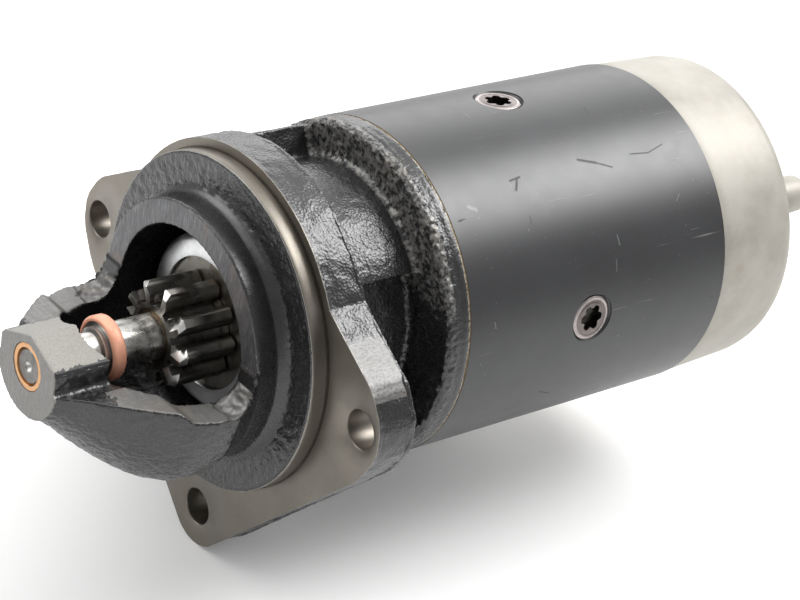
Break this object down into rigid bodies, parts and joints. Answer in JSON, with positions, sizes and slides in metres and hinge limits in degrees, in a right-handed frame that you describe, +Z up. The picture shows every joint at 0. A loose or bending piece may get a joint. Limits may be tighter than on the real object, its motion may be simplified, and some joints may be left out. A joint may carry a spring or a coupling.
{
  "type": "starter motor",
  "caption": "Engine starter motor with an open nose bearing, toothed pinion on a roller clutch, three-hole flange, cylindrical yoke and side solenoid.",
  "frame": {"origin": "centre of the flange's mounting face, on the shaft axis", "axes": "-X out of the nose towards the engine, +X to the rear cover, +Z up with one mounting hole at -Z"},
  "size_m": [0.2958, 0.1741, 0.1443],
  "materials": {
    "black_paint": "gloss black paint over rough cast iron",
    "satin_paint": "satin black paint",
    "cover_metal": "matt cast aluminium",
    "bright_steel": "ground steel",
    "dark_steel": "oiled hardened steel",
    "screw_steel": "zinc-plated steel",
    "lamination": "stacked electrical sheet",
    "cover_sheet": "bright plated sheet steel",
    "copper": "copper",
    "winding": "varnished copper winding",
    "bronze": "sintered bronze",
    "carbon": "copper-graphite",
    "rubber": "moulded rubber",
    "black_plastic": "moulded phenolic",
    "lever_plastic": "glass-filled nylon",
    "gasket": "paper gasket",
    "spring": "spring steel"
  },
  "bodies": {
    "housing": {"drive_end_bracket": "black_paint", "nose_bush": "bronze", "front_gasket": "gasket", "centre_plate": "cover_metal", "centre_bush": "bronze", "lever_plug": "rubber", "yoke": "satin_paint", "pole_shoes": "lamination", "pole_screws": "screw_steel", "field_coils": "winding", "field_links": "copper", "end_cover": "cover_metal", "rear_bush": "bronze", "through_bolts": "screw_steel", "bolt_washers": "screw_steel", "brush_plate": "black_plastic", "brush_holders": "cover_sheet", "brush_springs": "spring", "lever_pivot_pin": "screw_steel", "solenoid_case": "satin_paint", "solenoid_screws": "screw_steel", "solenoid_bobbin": "black_plastic", "solenoid_winding": "winding", "solenoid_core": "bright_steel", "plunger_return_spring": "spring", "solenoid_cap": "black_plastic", "terminal_studs": "copper", "terminal_nuts": "screw_steel", "terminal_washers": "screw_steel", "switch_terminal": "copper", "motor_lead": "copper", "lead_grommet": "rubber"},
    "armature": {"armature_shaft": "bright_steel", "armature_core": "lamination", "armature_winding": "winding", "commutator_bars": "copper", "commutator_hub": "black_plastic", "stop_ring": "copper", "stop_snap_ring": "spring", "thrust_washer": "bright_steel"},
    "collar": {"guide_collar": "bright_steel"},
    "drive": {"drive_sleeve": "dark_steel", "clutch_ring": "dark_steel", "clutch_rollers": "bright_steel", "roller_springs": "spring", "clutch_washer": "dark_steel", "clutch_cover": "cover_sheet", "meshing_spring": "spring", "collar_snap_ring": "spring"},
    "pinion_gear": {"pinion": "dark_steel", "pinion_bush": "bronze"},
    "lever": {"shift_lever": "lever_plastic", "lever_pads": "bronze"},
    "plunger_body": {"plunger": "bright_steel", "plunger_pin": "screw_steel"},
    "contact": {"contact_bridge": "copper"},
    "brush_body_1": {"brush_1": "carbon"},
    "brush_body_2": {"brush_2": "carbon"},
    "brush_body_3": {"brush_3": "carbon"},
    "brush_body_4": {"brush_4": "carbon"}
  },
  "joints": [
    {"name": "armature_spin", "type": "hinge", "parent": "housing", "child": "armature", "pos_m": [0, 0, 0], "axis": [1, 0, 0], "continuous": true},
    {"name": "plunger_pull", "type": "slide", "parent": "housing", "child": "plunger_body", "axis": [1, 0, 0], "range_m": [0, 0.0103], "stiffness_N_per_m": 400, "springref_m": -0.02, "deforming": ["plunger_return_spring"]},
    {"name": "drive_slide", "type": "slide", "parent": "armature", "child": "collar", "axis": [-1, 0, 0], "range_m": [0, 0.01421]},
    {"name": "drive_twist", "type": "hinge", "parent": "collar", "child": "drive", "pos_m": [0, 0, 0], "axis": [1, 0, 0], "range_deg": [0, 29.75]},
    {"name": "pinion_overrun", "type": "hinge", "parent": "drive", "child": "pinion_gear", "pos_m": [0, 0, 0], "axis": [1, 0, 0], "continuous": true},
    {"name": "lever_swing", "type": "hinge", "parent": "housing", "child": "lever", "pos_m": [0.03, 0.03769, -0.03163], "axis": [0, -0.6428, -0.766], "range_deg": [0, 16.65]},
    {"name": "contact_close", "type": "slide", "parent": "housing", "child": "contact", "axis": [1, 0, 0], "range_m": [0, 0.0022]},
    {"name": "brush_1_lift", "type": "slide", "parent": "housing", "child": "brush_body_1", "axis": [0, 0.0872, 0.9962], "range_m": [0, 0.004], "stiffness_N_per_m": 500, "springref_m": -0.01, "deforming": ["brush_springs"]},
    {"name": "brush_2_lift", "type": "slide", "parent": "housing", "child": "brush_body_2", "axis": [0, -0.9962, 0.0872], "range_m": [0, 0.004], "stiffness_N_per_m": 500, "springref_m": -0.01},
    {"name": "brush_3_lift", "type": "slide", "parent": "housing", "child": "brush_body_3", "axis": [0, -0.0872, -0.9962], "range_m": [0, 0.004], "stiffness_N_per_m": 500, "springref_m": -0.01},
    {"name": "brush_4_lift", "type": "slide", "parent": "housing", "child": "brush_body_4", "axis": [0, 0.9962, -0.0872], "range_m": [0, 0.004], "stiffness_N_per_m": 500, "springref_m": -0.01}
  ],
  "couplings": [
    {"joint": "drive_slide", "follows": "plunger_pull", "ratio": 1.3786},
    {"joint": "drive_twist", "follows": "plunger_pull", "rad_per_m": 50.362},
    {"joint": "lever_swing", "follows": "plunger_pull", "rad_per_m": 28.163},
    {"joint": "contact_close", "follows": "plunger_pull", "ratio": 0.21359}
  ]
}
